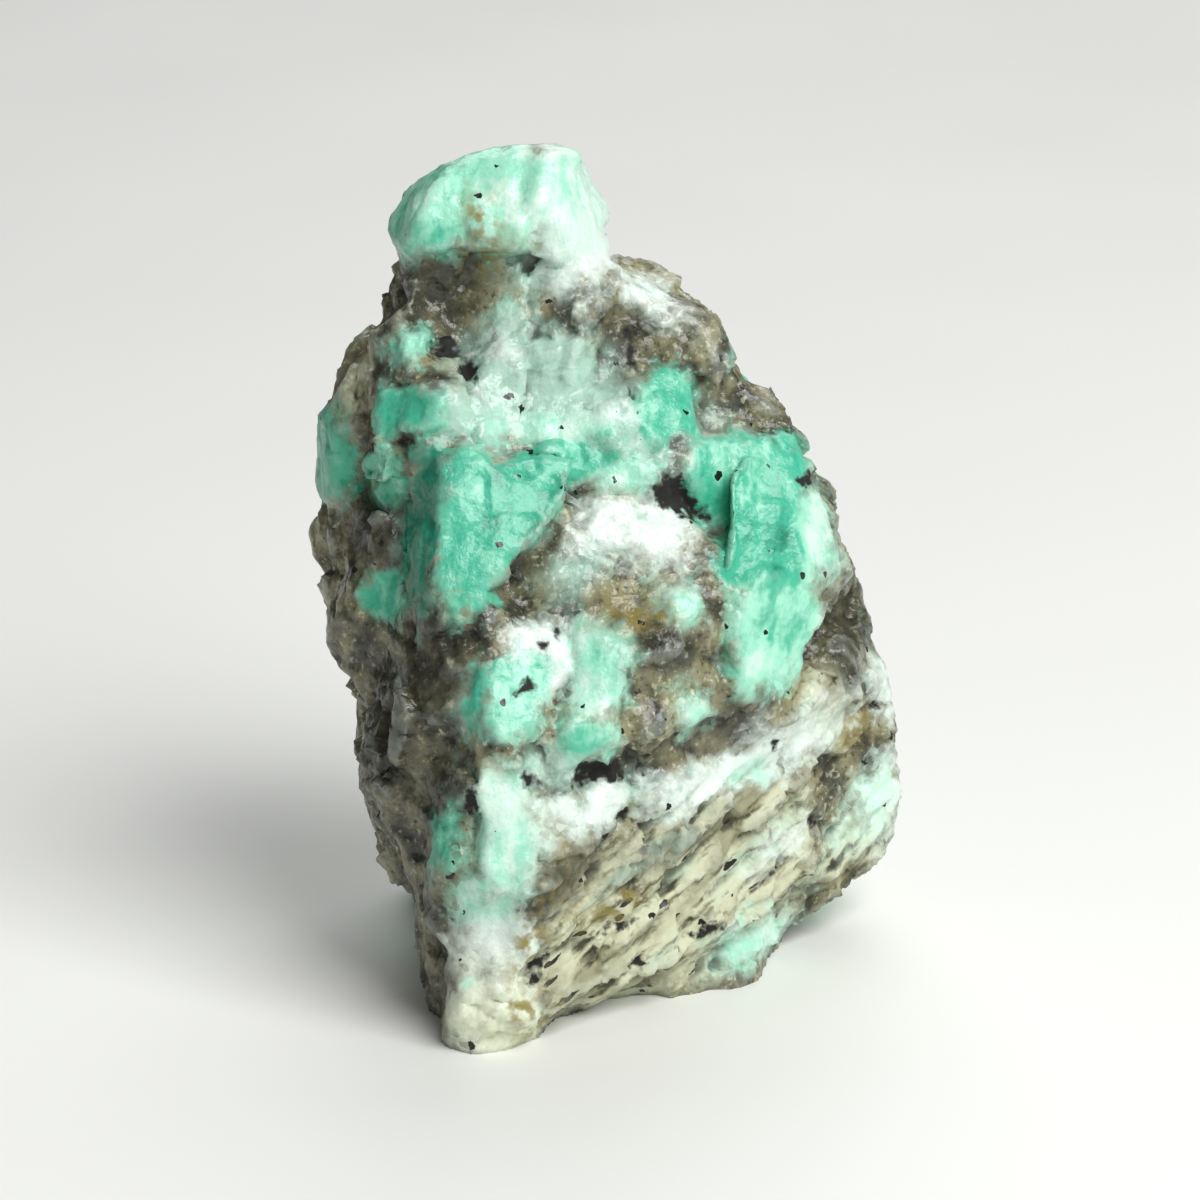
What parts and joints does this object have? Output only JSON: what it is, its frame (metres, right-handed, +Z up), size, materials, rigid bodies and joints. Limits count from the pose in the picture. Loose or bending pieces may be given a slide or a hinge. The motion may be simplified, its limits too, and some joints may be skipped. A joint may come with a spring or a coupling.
{
  "type": "rough amazonite",
  "caption": "Rough lump of amazonite: blocky green feldspar with white and smoky grey patches, a pale block at its tip, a layered side and a flat underside to rest on.",
  "frame": {"origin": "middle of the bounding box at the flat underside", "axes": "+Z up through the tip, the side with the largest green crystals faces -Y"},
  "size_m": [0.0414, 0.0356, 0.0562],
  "materials": {
    "amazonite": "broken, glossy on the crystal faces"
  },
  "bodies": {
    "root": {"amazonite_stone": "amazonite"}
  },
  "joints": []
}
